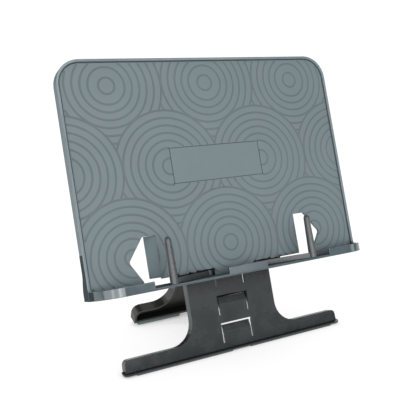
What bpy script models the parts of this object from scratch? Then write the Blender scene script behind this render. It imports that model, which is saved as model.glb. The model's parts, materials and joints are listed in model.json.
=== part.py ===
"""Folding reading stand of moulded plastic, in metres, +Z up, reader at -Y.

A page tray with a ledge slides up and down on a tilted front leg. A shorter rear leg is
hinged inside the front leg and folds flat into it. Two page holders swing out over the
ledge and lie back in slots of the tray. The origin is on the surface that the stand rests
on, at the middle of the object's box.
"""

import math

import bmesh
import bpy
from mathutils import Matrix, Vector

# Stance of the stand
TILT = math.radians(20.0)
SPREAD = math.radians(37.7)
LEDGE_HEIGHT = 0.0857
CLEARANCE = 0.0003
RUNNING_CLEARANCE = 0.0005
OVERRUN = 0.004

# Page tray
TRAY_WIDTH = 0.340
TRAY_HEIGHT = 0.247
TRAY_CORNER_RADIUS = 0.027
RIM_WIDTH = 0.003
RIM_RISE = 0.002
SKIN = 0.003
TRAY_DEPTH = 0.010
SIDE_WALL = 0.0025

# Ledge at the foot of the tray
LEDGE_DEPTH = 0.0303
LEDGE_BASE = 0.0026
LEDGE_CORNER_RADIUS = 0.030
LIP_TOP = 0.0095
LIP_WALL = 0.003
LIP_GAP_INNER = 0.0242
LIP_GAP_OUTER = 0.1094
KEEL_DEPTH = 0.016
CHEEK_RISE = 0.018

# Arrow openings and the ramps beside them
ARROW_INNER = 0.0889
ARROW_SHOULDER = 0.1039
ARROW_TOP = 0.0558
ARROW_TIP = 0.1214
ARROW_TIP_HEIGHT = 0.031
ARROW_TIP_RADIUS = 0.004
ARROW_FOOT = 0.1092
RAMP_RUN = 0.009
RAMP_DEPTH = 0.013
RAMP_WALL = 0.0025
RAMP_FOOT = 0.0107
RAMP_ROOT = 0.0016

# Page holders
PIVOT_SIDE = 0.0308
PIVOT_DEPTH = 0.0055
POST_SIDE = 0.0874
POST_REACH = 0.0273
POST_TOP = 0.0517
POST_BASE_RADIUS = 0.0045
POST_TIP_RADIUS = 0.0034
BAR_HEIGHT = 0.0056
BAR_THICKNESS = 0.006
EYE_RADIUS = 0.0045
HOLDER_PIN_RADIUS = 0.0015
HOLDER_PIN_HEAD_RADIUS = 0.0022
HOLDER_PIN_HEAD = 0.0012
HOLDER_CLIP_RADIUS = 0.0035
HOLDER_CLIP_THICKNESS = 0.0012
SLOT_INNER = 0.0258
SLOT_HEADROOM = 0.0008
NOTCH_OUTER = 0.0415
NOTCH_RISE = 0.001
HOUSING_WALL = 0.0025
HOUSING_OUTER = 0.070

# Guide frame behind the tray
GUIDE_FOOT = 0.020
GUIDE_HINGE_SPACE = 0.018
GUIDE_WALL = 0.003
GUIDE_LIP_WALL = 0.0025
GUIDE_LIP_WIDTH = 0.0065
LATCH_HALF_WIDTH = 0.015
LATCH_FOOT = 0.0036
TOOTH_HEIGHT = 0.005
TOOTH_GAP = 0.00025
BOSS_RADIUS = 0.0045
BOSS_SIDE = 0.042
BOSS_MARGIN = 0.009
SCREW_RADIUS = 0.0014
SCREW_HEAD_RADIUS = 0.003
SCREW_HEAD = 0.0018
SCREW_LENGTH = 0.010

# Front leg
LEG_SETBACK = 0.0182
LEG_DEPTH = 0.0095
LEG_WALL = 0.0025
LEG_PANEL = 0.002
COLUMN_HALF = 0.0544
COLUMN_TOP = 0.0985
COLUMN_TOP_RADIUS = 0.008
FRONT_FILLET = 0.025
FRONT_FOOT_TOP = -0.0678
FRONT_FOOT_HALF = 0.1401
FRONT_FOOT_SHOULDER = 0.0022
FRONT_FOOT_RADIUS = 0.0052
SOLE_HALF = 0.1409
SOLE_LEAD = 0.0029
SOLE_WIDTH = 0.0092
SOLE_TOP = 0.0034
SOLE_RIB = 0.002
SOLE_CORNER_RADIUS = 0.0045

# Latch windows and their tongues
WINDOW_PITCH = 0.0311
WINDOW_COUNT = 3
WINDOW_TOP = 0.0091
WINDOW_HALF = 0.01975
WINDOW_HEIGHT = 0.022
SLIT = 0.0023
TONGUE_RAMP_HEIGHT = 0.010
TONGUE_RAMP_DEPTH = 0.003

# Leg hinge
HINGE_HEIGHT = 0.086
HINGE_SETBACK = 0.027
HINGE_PIN_RADIUS = 0.002
HINGE_PIN_HEAD_RADIUS = 0.004
HINGE_PIN_HEAD = 0.0014
EAR_RADIUS = 0.0062
BARREL_RADIUS = 0.005
HEEL_RISE = 0.0065
HEEL_THICKNESS = 0.003
HEEL_INNER = 0.020
HEEL_WIDTH = 0.010

# Rear leg
REAR_FRONT = 0.0053
REAR_DEPTH = 0.0129
REAR_WALL = 0.0025
REAR_COLUMN_HALF = 0.0355
REAR_SHOULDER = 0.010
REAR_SHOULDER_RADIUS = 0.008
REAR_FILLET = 0.024
REAR_FOOT_HALF = 0.0845
REAR_FOOT_HEIGHT = 0.0177
REAR_FOOT_RADIUS = 0.0094
REAR_FLOOR_WALL = 0.002
REAR_STANDOFF = 0.0033

# Non-slip pads
FRONT_STANDOFF = 0.0017
FRONT_PAD_INNER = 0.012
FRONT_PAD_OUTER = 0.1265
FRONT_PAD_WIDTH = 0.0065
FRONT_PAD_SEAT = 0.0005
REAR_PAD_INNER = 0.0232
REAR_PAD_OUTER = 0.0789
REAR_PAD_WIDTH = 0.0085
REAR_PAD_SEAT = 0.0008
REAR_PAD_LEAD = 0.0004

# Steps of an arc for each quarter turn, and sides of round pieces
ARC_STEPS = 8
SMALL_ARC_STEPS = 4
ROUND_SIDES = 24
SMALL_ROUND_SIDES = 16
DOME_STEPS = 5
SMOOTH_ANGLE = math.radians(32.0)

# Colours, linear
SLATE = (0.185, 0.235, 0.255, 1.0)
CHARCOAL = (0.060, 0.066, 0.067, 1.0)
UMBER = (0.105, 0.098, 0.095, 1.0)
PAD_GREY = (0.130, 0.155, 0.160, 1.0)
STEEL = (0.560, 0.570, 0.580, 1.0)

# Places worked out from the sizes above
REST_SWING = math.atan2(POST_REACH + PIVOT_DEPTH, POST_SIDE - PIVOT_SIDE)
ARM_LENGTH = math.hypot(POST_REACH + PIVOT_DEPTH, POST_SIDE - PIVOT_SIDE)
BAR_FOOT = LEDGE_BASE + CLEARANCE
SLOT_TOP = BAR_FOOT + BAR_HEIGHT + SLOT_HEADROOM
NOTCH_TOP = SLOT_TOP + NOTCH_RISE
HOUSING_TOP = NOTCH_TOP + HOUSING_WALL
REAR_LEAN = SPREAD - TILT
GUIDE_TOP = HINGE_HEIGHT - GUIDE_HINGE_SPACE
GUIDE_INNER_HALF = COLUMN_HALF + RUNNING_CLEARANCE
GUIDE_OUTER_HALF = GUIDE_INNER_HALF + GUIDE_WALL
GUIDE_BACK_OF_WEB = LEG_SETBACK - RUNNING_CLEARANCE
GUIDE_FRONT = GUIDE_BACK_OF_WEB - GUIDE_WALL
COLUMN_BACK = LEG_SETBACK + LEG_DEPTH
CROSSBAR_HALF = COLUMN_HALF - LEG_WALL - RUNNING_CLEARANCE
HINGE_BACK = HINGE_HEIGHT * math.sin(TILT) + HINGE_SETBACK * math.cos(TILT)
HINGE_ABOVE_LEDGE = HINGE_HEIGHT * math.cos(TILT) - HINGE_SETBACK * math.sin(TILT)
HINGE_ABOVE_FLOOR = LEDGE_HEIGHT + HINGE_ABOVE_LEDGE
REAR_BACK = REAR_DEPTH - REAR_FRONT
REAR_LENGTH = (HINGE_ABOVE_FLOOR - REAR_STANDOFF) / math.cos(REAR_LEAN)
REAR_LENGTH += -REAR_FRONT * math.tan(REAR_LEAN)
REAR_REACH = (
    HINGE_BACK + REAR_BACK * math.cos(REAR_LEAN) + REAR_LENGTH * math.sin(REAR_LEAN)
)
POST_FRONT = POST_REACH + POST_BASE_RADIUS
FRONT_REACH = POST_FRONT * math.cos(TILT) - BAR_FOOT * math.sin(TILT)
MIDDLE = (REAR_REACH - FRONT_REACH) / 2


def tray_frame():
    """Frame of the tray: X to the right, Y behind the face, Z up the face."""
    place = Matrix.Translation((0, -MIDDLE, LEDGE_HEIGHT))
    return place @ Matrix.Rotation(-TILT, 4, "X")


def hinge_frame():
    """Frame of the rear leg: X along the hinge axis, Z up the leg."""
    place = Matrix.Translation((0, HINGE_BACK - MIDDLE, HINGE_ABOVE_FLOOR))
    return place @ Matrix.Rotation(REAR_LEAN, 4, "X")


def holder_frame(side):
    """Frame of a page holder: Z along its pin, X along its bar at rest."""
    place = tray_frame() @ Matrix.Translation((side * PIVOT_SIDE, PIVOT_DEPTH, 0))
    turn = Matrix.Rotation(-side * REST_SWING, 4, "Z")
    return place @ turn


def make_material(name, colour, roughness, metallic=0.0):
    """Principled material of one piece."""
    material = bpy.data.materials.new(name)
    material.use_nodes = True
    shader = material.node_tree.nodes["Principled BSDF"]
    shader.inputs["Base Color"].default_value = colour
    shader.inputs["Roughness"].default_value = roughness
    shader.inputs["Metallic"].default_value = metallic
    return material


def arc(centre, radius, start, end, steps=ARC_STEPS):
    """Points of an arc from one angle to another, in degrees."""
    points = []
    for step in range(steps + 1):
        angle = math.radians(start + (end - start) * step / steps)
        points.append((centre[0] + radius * math.cos(angle), centre[1] + radius * math.sin(angle)))
    return points


def circle(centre, radius, sides=ROUND_SIDES):
    """Points of a full circle."""
    points = []
    for step in range(sides):
        angle = 2 * math.pi * step / sides
        points.append((centre[0] + radius * math.cos(angle), centre[1] + radius * math.sin(angle)))
    return points


def box_outline(low_a, high_a, low_b, high_b):
    """Rectangle as four points."""
    return [(low_a, low_b), (high_a, low_b), (high_a, high_b), (low_a, high_b)]


def mirrored(half):
    """Outline that is mirror-symmetric about its first axis being zero."""
    return half + [(-a, b) for a, b in reversed(half)]


def flipped(outline, side):
    """Outline for the right side, or its mirror image for the left side."""
    if side > 0:
        return outline
    return [(-a, b) for a, b in reversed(outline)]


def new_object(name, bm, frame):
    """Object from a bmesh given in the frame's own coordinates."""
    bmesh.ops.remove_doubles(bm, verts=bm.verts, dist=CLEARANCE / 100)
    bmesh.ops.recalc_face_normals(bm, faces=bm.faces)
    mesh = bpy.data.meshes.new(name)
    bm.to_mesh(mesh)
    bm.free()
    item = bpy.data.objects.new(name, mesh)
    bpy.context.scene.collection.objects.link(item)
    item.matrix_world = frame
    return item


def prism(name, outline, low, high, axes, frame):
    """Closed prism: the outline in the first two axes, low to high along the third."""
    bm = bmesh.new()
    rings = []
    for level in (low, high):
        ring = []
        for a, b in outline:
            place = [0, 0, 0]
            place["xyz".index(axes[0])] = a
            place["xyz".index(axes[1])] = b
            place["xyz".index(axes[2])] = level
            ring.append(bm.verts.new(place))
        rings.append(ring)
    bm.faces.new(rings[0])
    bm.faces.new(rings[1])
    count = len(outline)
    for index in range(count):
        after = (index + 1) % count
        bm.faces.new((rings[0][index], rings[0][after], rings[1][after], rings[1][index]))
    return new_object(name, bm, frame)


def block(name, x_range, y_range, z_range, frame):
    """Closed block between pairs of planes."""
    return prism(name, box_outline(*x_range, *y_range), *z_range, "xyz", frame)


def turned(name, profile, axis, centre, sides, frame):
    """Solid of revolution from (height along the axis, radius) points."""
    bm = bmesh.new()
    along = "xyz".index(axis)
    first, second = [index for index in range(3) if index != along]
    rings = []
    for height, radius in profile:
        if radius == 0:
            place = list(centre)
            place[along] += height
            rings.append([bm.verts.new(place)])
            continue
        ring = []
        for a, b in circle((0, 0), radius, sides):
            place = list(centre)
            place[along] += height
            place[first] += a
            place[second] += b
            ring.append(bm.verts.new(place))
        rings.append(ring)
    for lower, upper in zip(rings, rings[1:]):
        for index in range(sides):
            after = (index + 1) % sides
            if len(lower) == 1:
                bm.faces.new((lower[0], upper[index], upper[after]))
            elif len(upper) == 1:
                bm.faces.new((lower[index], lower[after], upper[0]))
            else:
                bm.faces.new((lower[index], lower[after], upper[after], upper[index]))
    if len(rings[0]) > 1:
        bm.faces.new(rings[0])
    if len(rings[-1]) > 1:
        bm.faces.new(rings[-1])
    return new_object(name, bm, frame)


def rod(name, radius, low, high, axis, centre, sides, frame):
    """Plain round rod along an axis."""
    return turned(name, [(low, radius), (high, radius)], axis, centre, sides, frame)


def combine(target, operation, *tools):
    """Join, cut or intersect a piece with tools, which are then removed."""
    for tool in tools:
        modifier = target.modifiers.new(operation.title(), "BOOLEAN")
        modifier.operation = operation
        modifier.solver = "EXACT"
        modifier.object = tool
        bpy.context.view_layer.update()
        graph = bpy.context.evaluated_depsgraph_get()
        mesh = bpy.data.meshes.new_from_object(target.evaluated_get(graph))
        target.modifiers.remove(modifier)
        old = target.data
        target.data = mesh
        bpy.data.meshes.remove(old)
        used = tool.data
        bpy.data.objects.remove(tool)
        bpy.data.meshes.remove(used)
    return target


def finish(piece, name, material):
    """Name a piece, give it its material and shade its round faces smooth."""
    piece.name = name
    piece.data.name = name
    piece.data.materials.clear()
    piece.data.materials.append(material)
    piece.data.shade_smooth()
    piece.data.set_sharp_from_angle(angle=SMOOTH_ANGLE)
    return piece


def tray_outline(inset, foot):
    """Front outline of the tray, rounded at its top corners, drawn in by an inset."""
    half = TRAY_WIDTH / 2 - inset
    top = TRAY_HEIGHT - inset
    radius = TRAY_CORNER_RADIUS - inset
    corner = arc((half - radius, top - radius), radius, 0, 90)
    return mirrored([(half, foot)] + corner)


def ledge_outline(inset, back):
    """Plan of the ledge, rounded at its front corners, drawn in by an inset."""
    half = TRAY_WIDTH / 2 - inset
    front = LEDGE_DEPTH - inset
    radius = LEDGE_CORNER_RADIUS - inset
    corner = arc((half - radius, -(front - radius)), radius, 0, -90)
    return mirrored([(half, back)] + corner)


def arrow_outline(side):
    """Opening beside a page holder, pointing outward."""
    rise = ARROW_TOP - ARROW_TIP_HEIGHT
    fall = ARROW_TIP_HEIGHT - SLOT_TOP
    upper = math.degrees(math.atan2(ARROW_TIP - ARROW_SHOULDER, rise))
    lower = math.degrees(math.atan2(ARROW_TIP - ARROW_FOOT, fall))
    tip = arc((ARROW_TIP - ARROW_TIP_RADIUS, ARROW_TIP_HEIGHT), ARROW_TIP_RADIUS, -lower, upper)
    outline = [(ARROW_INNER, SLOT_TOP - OVERRUN), (ARROW_FOOT, SLOT_TOP - OVERRUN)]
    outline += [(ARROW_FOOT, SLOT_TOP)] + tip
    outline += [(ARROW_SHOULDER, ARROW_TOP), (ARROW_INNER, ARROW_TOP)]
    return flipped(outline, side)


def ramp_outline(side):
    """Plan of the skin's edge that bends back beside the arrow opening."""
    length = math.hypot(RAMP_RUN, RAMP_DEPTH)
    shift = (RAMP_WALL * RAMP_DEPTH / length, RAMP_WALL * RAMP_RUN / length)
    root = ARROW_INNER - CLEARANCE
    lead = CLEARANCE * RAMP_DEPTH / RAMP_RUN
    outline = [
        (root, lead),
        (ARROW_INNER + RAMP_RUN, RAMP_DEPTH),
        (ARROW_INNER + RAMP_RUN - shift[0], RAMP_DEPTH + shift[1]),
        (root - RAMP_ROOT, SKIN - CLEARANCE),
        (root - RAMP_ROOT, lead),
    ]
    return flipped(outline, side)


def make_tray(material):
    """Page tray: rimmed face, ledge with three lips, arrow openings and holder housings."""
    frame = tray_frame()
    foot = LEDGE_BASE
    tray = prism("tray", tray_outline(0, 0), -RIM_RISE, TRAY_DEPTH, "xzy", frame)
    ledge = prism("ledge", ledge_outline(0, KEEL_DEPTH), 0, LIP_TOP, "xyz", frame)
    combine(tray, "UNION", ledge)

    pocket = prism(
        "pocket", tray_outline(RIM_WIDTH, foot), -LEDGE_DEPTH - OVERRUN, 0, "xzy", frame
    )
    well = prism(
        "well", ledge_outline(LIP_WALL, OVERRUN), foot - OVERRUN, TRAY_HEIGHT, "xyz", frame
    )
    combine(pocket, "INTERSECT", well)
    back = prism(
        "back", tray_outline(SIDE_WALL, foot), SKIN, KEEL_DEPTH + OVERRUN, "xzy", frame
    )
    combine(tray, "DIFFERENCE", pocket, back)

    cheek = [
        (TRAY_DEPTH - SIDE_WALL, LIP_TOP - SIDE_WALL),
        (KEEL_DEPTH, LIP_TOP - SIDE_WALL),
        (KEEL_DEPTH, LIP_TOP),
    ]
    rise = (KEEL_DEPTH - TRAY_DEPTH) / 2
    cheek += [
        (KEEL_DEPTH - rise / 2, LIP_TOP + CHEEK_RISE / 4),
        (KEEL_DEPTH - rise, LIP_TOP + CHEEK_RISE / 2),
        (TRAY_DEPTH + rise / 4, LIP_TOP + CHEEK_RISE * 3 / 4),
        (TRAY_DEPTH, LIP_TOP + CHEEK_RISE),
        (TRAY_DEPTH - SIDE_WALL, LIP_TOP + CHEEK_RISE),
    ]
    half = TRAY_WIDTH / 2
    for side in (-1, 1):
        ends = sorted((side * (half - SIDE_WALL), side * half))
        combine(tray, "UNION", prism("cheek", cheek, *ends, "yzx", frame))
        span = sorted((side * (SLOT_INNER - HOUSING_WALL), side * HOUSING_OUTER))
        housing = block(
            "housing",
            span,
            (SKIN - CLEARANCE, KEEL_DEPTH),
            (LEDGE_BASE / 2, HOUSING_TOP),
            frame,
        )
        combine(tray, "UNION", housing)
        for height in (GUIDE_FOOT + BOSS_MARGIN, GUIDE_TOP - BOSS_MARGIN):
            boss = rod(
                "boss",
                BOSS_RADIUS,
                SKIN - CLEARANCE,
                GUIDE_FRONT - CLEARANCE,
                "y",
                (side * BOSS_SIDE, 0, height),
                ROUND_SIDES,
                frame,
            )
            bore = rod(
                "bore",
                SCREW_RADIUS + CLEARANCE,
                GUIDE_FRONT + SCREW_HEAD - SCREW_LENGTH - CLEARANCE,
                GUIDE_FRONT,
                "y",
                (side * BOSS_SIDE, 0, height),
                SMALL_ROUND_SIDES,
                frame,
            )
            combine(tray, "UNION", boss)
            combine(tray, "DIFFERENCE", bore)

    for side in (-1, 1):
        cut_holder_side(tray, side, frame)
    return finish(tray, "page_tray", material)


def cut_holder_side(tray, side, frame):
    """Slot, arrow opening, ramp, lip gap and pin hole of one page holder."""
    span = sorted((side * SLOT_INNER, side * ARROW_FOOT))
    depth = (-RIM_RISE, KEEL_DEPTH - HOUSING_WALL)
    slot = block("slot", span, depth, (LEDGE_BASE, SLOT_TOP), frame)
    span = sorted((side * SLOT_INNER, side * NOTCH_OUTER))
    notch = block("notch", span, depth, (LEDGE_BASE, NOTCH_TOP), frame)
    arrow = prism("arrow", arrow_outline(side), -RIM_RISE, SKIN + OVERRUN, "xzy", frame)
    combine(tray, "DIFFERENCE", slot, notch, arrow)
    ramp = prism("ramp", ramp_outline(side), RAMP_FOOT, ARROW_TOP, "xyz", frame)
    combine(tray, "UNION", ramp)
    span = sorted((side * LIP_GAP_INNER, side * LIP_GAP_OUTER))
    depth = (-LEDGE_DEPTH - OVERRUN, -LEDGE_DEPTH + LIP_WALL + OVERRUN)
    gap = block("gap", span, depth, (LEDGE_BASE, LIP_TOP + OVERRUN), frame)
    hole = rod(
        "hole",
        HOLDER_PIN_RADIUS + CLEARANCE,
        -OVERRUN,
        HOUSING_TOP + OVERRUN,
        "z",
        (side * PIVOT_SIDE, PIVOT_DEPTH, 0),
        SMALL_ROUND_SIDES,
        frame,
    )
    combine(tray, "DIFFERENCE", gap, hole)


def make_guide(material):
    """Channel on the tray's back that grips the front leg's column."""
    frame = tray_frame()
    inner = GUIDE_INNER_HALF
    outer = GUIDE_OUTER_HALF
    back = COLUMN_BACK + RUNNING_CLEARANCE
    half = [
        (outer, GUIDE_FRONT),
        (outer, back + GUIDE_LIP_WALL),
        (inner - GUIDE_LIP_WIDTH, back + GUIDE_LIP_WALL),
        (inner - GUIDE_LIP_WIDTH, back),
        (inner, back),
        (inner, GUIDE_BACK_OF_WEB),
    ]
    guide = prism("guide", mirrored(half), GUIDE_FOOT, GUIDE_TOP, "xyz", frame)
    tongue = block(
        "tongue",
        (-LATCH_HALF_WIDTH, LATCH_HALF_WIDTH),
        (GUIDE_FRONT, GUIDE_BACK_OF_WEB),
        (LATCH_FOOT, GUIDE_FOOT + GUIDE_WALL),
        frame,
    )
    tooth_tip = LEG_SETBACK - TOOTH_GAP
    tooth_profile = [
        (GUIDE_FRONT + GUIDE_WALL / 2, LATCH_FOOT),
        (tooth_tip, LATCH_FOOT + TOOTH_HEIGHT / 4),
        (tooth_tip, LATCH_FOOT + TOOTH_HEIGHT),
        (GUIDE_FRONT + GUIDE_WALL / 2, LATCH_FOOT + TOOTH_HEIGHT * 3 / 2),
    ]
    tooth = prism("tooth", tooth_profile, -LATCH_HALF_WIDTH, LATCH_HALF_WIDTH, "yzx", frame)
    combine(guide, "UNION", tongue, tooth)
    for place in boss_places().values():
        hole = rod(
            "hole",
            SCREW_RADIUS + CLEARANCE,
            GUIDE_FRONT - OVERRUN,
            GUIDE_BACK_OF_WEB + OVERRUN,
            "y",
            place,
            SMALL_ROUND_SIDES,
            frame,
        )
        sink = rod(
            "sink",
            SCREW_HEAD_RADIUS + CLEARANCE,
            GUIDE_BACK_OF_WEB - SCREW_HEAD - CLEARANCE,
            GUIDE_BACK_OF_WEB + OVERRUN,
            "y",
            place,
            SMALL_ROUND_SIDES,
            frame,
        )
        combine(guide, "DIFFERENCE", hole, sink)
    return finish(guide, "guide_frame", material)


def boss_places():
    """Names and centres of the four screws that hold the guide frame, in the tray's frame."""
    places = {}
    for level, height in (("lower", GUIDE_FOOT + BOSS_MARGIN), ("upper", GUIDE_TOP - BOSS_MARGIN)):
        for side, word in ((-1, "left"), (1, "right")):
            places[f"guide_screw_{level}_{word}"] = (side * BOSS_SIDE, 0, height)
    return places


def make_guide_screw(name, place, material):
    """Countersunk screw that holds the guide frame to a boss of the tray."""
    top = GUIDE_BACK_OF_WEB - CLEARANCE
    under = top - SCREW_HEAD
    tip = GUIDE_FRONT + SCREW_HEAD - SCREW_LENGTH
    profile = [(tip, 0), (tip + SCREW_RADIUS, SCREW_RADIUS), (under, SCREW_RADIUS)]
    profile += [(under, SCREW_HEAD_RADIUS), (top, SCREW_HEAD_RADIUS)]
    screw = turned("screw", profile, "y", place, SMALL_ROUND_SIDES, tray_frame())
    return finish(screw, name, material)


def leg_outline(column, top, top_radius, fillet, foot_top, foot_half, shoulder, foot_radius, foot):
    """Front outline of a leg: a column that widens through fillets into a long foot."""
    half = [(foot_half, foot)]
    centre = (foot_half - shoulder - foot_radius, foot_top - foot_radius)
    half += arc(centre, foot_radius, 0, 90, SMALL_ARC_STEPS)
    half += arc((column + fillet, foot_top + fillet), fillet, 270, 180)
    if top_radius > 0:
        half += arc((column - top_radius, top - top_radius), top_radius, 0, 90, SMALL_ARC_STEPS)
    else:
        half += [(column, top)]
    return mirrored(half)


def sole_front():
    """Distance of the sole's front edge from the middle of the object's box."""
    toe = LEG_SETBACK / math.cos(TILT) - LEDGE_HEIGHT * math.tan(TILT)
    return toe - SOLE_LEAD - MIDDLE


def front_leg_outline(inset, foot):
    """Outline of the front leg, drawn in by an inset."""
    return leg_outline(
        COLUMN_HALF - inset,
        COLUMN_TOP - inset,
        COLUMN_TOP_RADIUS - inset,
        FRONT_FILLET + inset,
        FRONT_FOOT_TOP - inset,
        FRONT_FOOT_HALF - inset,
        FRONT_FOOT_SHOULDER,
        FRONT_FOOT_RADIUS - inset,
        foot,
    )


def floor_block(name, height):
    """Wide block that clears everything below a height above the floor."""
    reach = TRAY_WIDTH / 2
    return block(name, (-reach, reach), (-reach, reach), (-reach, height), Matrix())


def make_front_leg(material):
    """Front leg: open-backed shell with a column, a long foot, a sole and latch windows."""
    frame = tray_frame()
    below = -LEDGE_HEIGHT / math.cos(TILT) - COLUMN_BACK
    back = LEG_SETBACK + LEG_DEPTH
    leg = prism("leg", front_leg_outline(0, below), LEG_SETBACK, back, "xzy", frame)
    for side in (-1, 1):
        ends = sorted((side * (COLUMN_HALF - LEG_WALL), side * COLUMN_HALF))
        ear = circle((HINGE_SETBACK, HINGE_HEIGHT), EAR_RADIUS)
        combine(leg, "UNION", prism("ear", ear, *ends, "yzx", frame))
    hollow = prism(
        "hollow",
        front_leg_outline(LEG_WALL, below - OVERRUN),
        LEG_SETBACK + LEG_PANEL,
        back + EAR_RADIUS,
        "xzy",
        frame,
    )
    combine(leg, "DIFFERENCE", hollow)

    front = sole_front()
    radius = SOLE_CORNER_RADIUS
    corner = arc((SOLE_HALF - radius, front + radius), radius, 0, -90, SMALL_ARC_STEPS)
    plan = mirrored([(SOLE_HALF, front + SOLE_WIDTH)] + corner)
    combine(leg, "UNION", prism("sole", plan, 0, SOLE_TOP, "xyz", Matrix()))
    reach = COLUMN_HALF + FRONT_FILLET + SOLE_HALF / 3
    depth = (front + SOLE_LEAD + LEG_PANEL, front + SOLE_WIDTH)
    rib = block("rib", (-reach, reach), depth, (SOLE_TOP / 2, SOLE_TOP + SOLE_RIB), Matrix())
    combine(leg, "UNION", rib)
    combine(leg, "DIFFERENCE", floor_block("floor", FRONT_STANDOFF))
    for side in (-1, 1):
        combine(leg, "DIFFERENCE", front_pad_block("groove", side, CLEARANCE))

    for index in range(WINDOW_COUNT):
        cut_window(leg, WINDOW_TOP - index * WINDOW_PITCH, frame)
    bore = rod(
        "bore",
        HINGE_PIN_RADIUS + CLEARANCE,
        -COLUMN_HALF - OVERRUN,
        COLUMN_HALF + OVERRUN,
        "x",
        (0, HINGE_SETBACK, HINGE_HEIGHT),
        ROUND_SIDES,
        frame,
    )
    combine(leg, "DIFFERENCE", bore)
    return finish(leg, "front_leg", material)


def cut_window(leg, top, frame):
    """Slit round three sides of a tongue whose upper end bends inward."""
    front = LEG_SETBACK
    inner = LEG_SETBACK + LEG_PANEL
    outer_half = WINDOW_HALF
    tongue_half = WINDOW_HALF - SLIT
    ramp_half = WINDOW_HALF - SLIT / 2
    crease = top - TONGUE_RAMP_HEIGHT
    crest = top - SLIT / 2
    wedge = [
        (front - OVERRUN, crease),
        (front, crease),
        (front + TONGUE_RAMP_DEPTH, crest),
        (front - OVERRUN, crest),
    ]
    backing = [
        (inner - CLEARANCE, crease - SLIT),
        (inner, crease - SLIT),
        (inner + TONGUE_RAMP_DEPTH, crest),
        (inner - CLEARANCE, crest),
    ]
    combine(leg, "UNION", prism("backing", backing, -ramp_half, ramp_half, "yzx", frame))
    combine(leg, "DIFFERENCE", prism("wedge", wedge, -ramp_half, ramp_half, "yzx", frame))
    depth = (front - OVERRUN, inner + TONGUE_RAMP_DEPTH + OVERRUN)
    slit = [
        (outer_half, top - WINDOW_HEIGHT),
        (outer_half, top),
        (-outer_half, top),
        (-outer_half, top - WINDOW_HEIGHT),
        (-tongue_half, top - WINDOW_HEIGHT),
        (-tongue_half, top - SLIT),
        (tongue_half, top - SLIT),
        (tongue_half, top - WINDOW_HEIGHT),
    ]
    combine(leg, "DIFFERENCE", prism("slit", slit, *depth, "xzy", frame))


def rear_outline(inset, foot):
    """Outline of the rear leg in its hinge frame, drawn in by an inset."""
    top = REAR_FOOT_HEIGHT - REAR_LENGTH - inset
    column = REAR_COLUMN_HALF - inset
    fillet = REAR_FILLET + inset
    foot_half = REAR_FOOT_HALF - inset
    foot_radius = REAR_FOOT_RADIUS - inset
    half = [(foot_half, foot)]
    half += arc((foot_half - foot_radius, top - foot_radius), foot_radius, 0, 90)
    half += arc((column + fillet, top + fillet), fillet, 270, 180)
    if inset > 0:
        half += [(column, -REAR_SHOULDER)]
        return mirrored(half)
    radius = REAR_SHOULDER_RADIUS
    half += arc((column + radius, -REAR_SHOULDER - radius), radius, 180, 90, SMALL_ARC_STEPS)
    half += [(CROSSBAR_HALF, -REAR_SHOULDER), (CROSSBAR_HALF, 0)]
    return mirrored(half)


def make_rear_leg(material):
    """Rear leg: open-fronted shell on a hinge barrel, with heels that stop its spread."""
    frame = hinge_frame()
    leg = prism("leg", rear_outline(0, -REAR_LENGTH), -REAR_FRONT, REAR_BACK, "xzy", frame)
    barrel = rod(
        "barrel", BARREL_RADIUS, -CROSSBAR_HALF, CROSSBAR_HALF, "x", (0, 0, 0), ROUND_SIDES, frame
    )
    combine(leg, "UNION", barrel)
    dish_foot = REAR_PAD_SEAT + CLEARANCE + REAR_FLOOR_WALL - REAR_LENGTH
    dish = prism(
        "dish",
        rear_outline(REAR_WALL, dish_foot),
        -REAR_FRONT - OVERRUN,
        REAR_BACK - REAR_WALL,
        "xzy",
        frame,
    )
    combine(leg, "DIFFERENCE", dish)
    for side in (-1, 1):
        combine(leg, "DIFFERENCE", rear_pad_block("groove", side, CLEARANCE))
        combine(leg, "UNION", heel(side))
    bore = rod(
        "bore",
        HINGE_PIN_RADIUS + CLEARANCE,
        -CROSSBAR_HALF - OVERRUN,
        CROSSBAR_HALF + OVERRUN,
        "x",
        (0, 0, 0),
        ROUND_SIDES,
        frame,
    )
    combine(leg, "DIFFERENCE", bore)
    return finish(leg, "rear_leg", material)


def heel(side):
    """Stop above the hinge barrel that meets the front leg when the legs are spread."""
    face = LEG_SETBACK + LEG_PANEL + CLEARANCE
    profile = [
        (face, HINGE_HEIGHT + HEEL_THICKNESS / 3),
        (face, HINGE_HEIGHT + HEEL_RISE),
        (face + HEEL_THICKNESS, HINGE_HEIGHT + HEEL_RISE),
        (HINGE_SETBACK + BARREL_RADIUS * 2 / 3, HINGE_HEIGHT + BARREL_RADIUS / 2),
        (HINGE_SETBACK, HINGE_HEIGHT - BARREL_RADIUS * 2 / 3),
    ]
    ends = sorted((side * HEEL_INNER, side * (HEEL_INNER + HEEL_WIDTH)))
    return prism("heel", profile, *ends, "yzx", tray_frame())


def front_pad_block(name, side, grow):
    """Body of a front pad, or its groove when grown by a clearance."""
    front = sole_front()
    span = sorted((side * (FRONT_PAD_INNER - grow), side * (FRONT_PAD_OUTER + grow)))
    low = front - grow * OVERRUN / CLEARANCE
    top = FRONT_STANDOFF + FRONT_PAD_SEAT + grow
    return block(name, span, (low, front + FRONT_PAD_WIDTH + grow), (0, top), Matrix())


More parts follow.
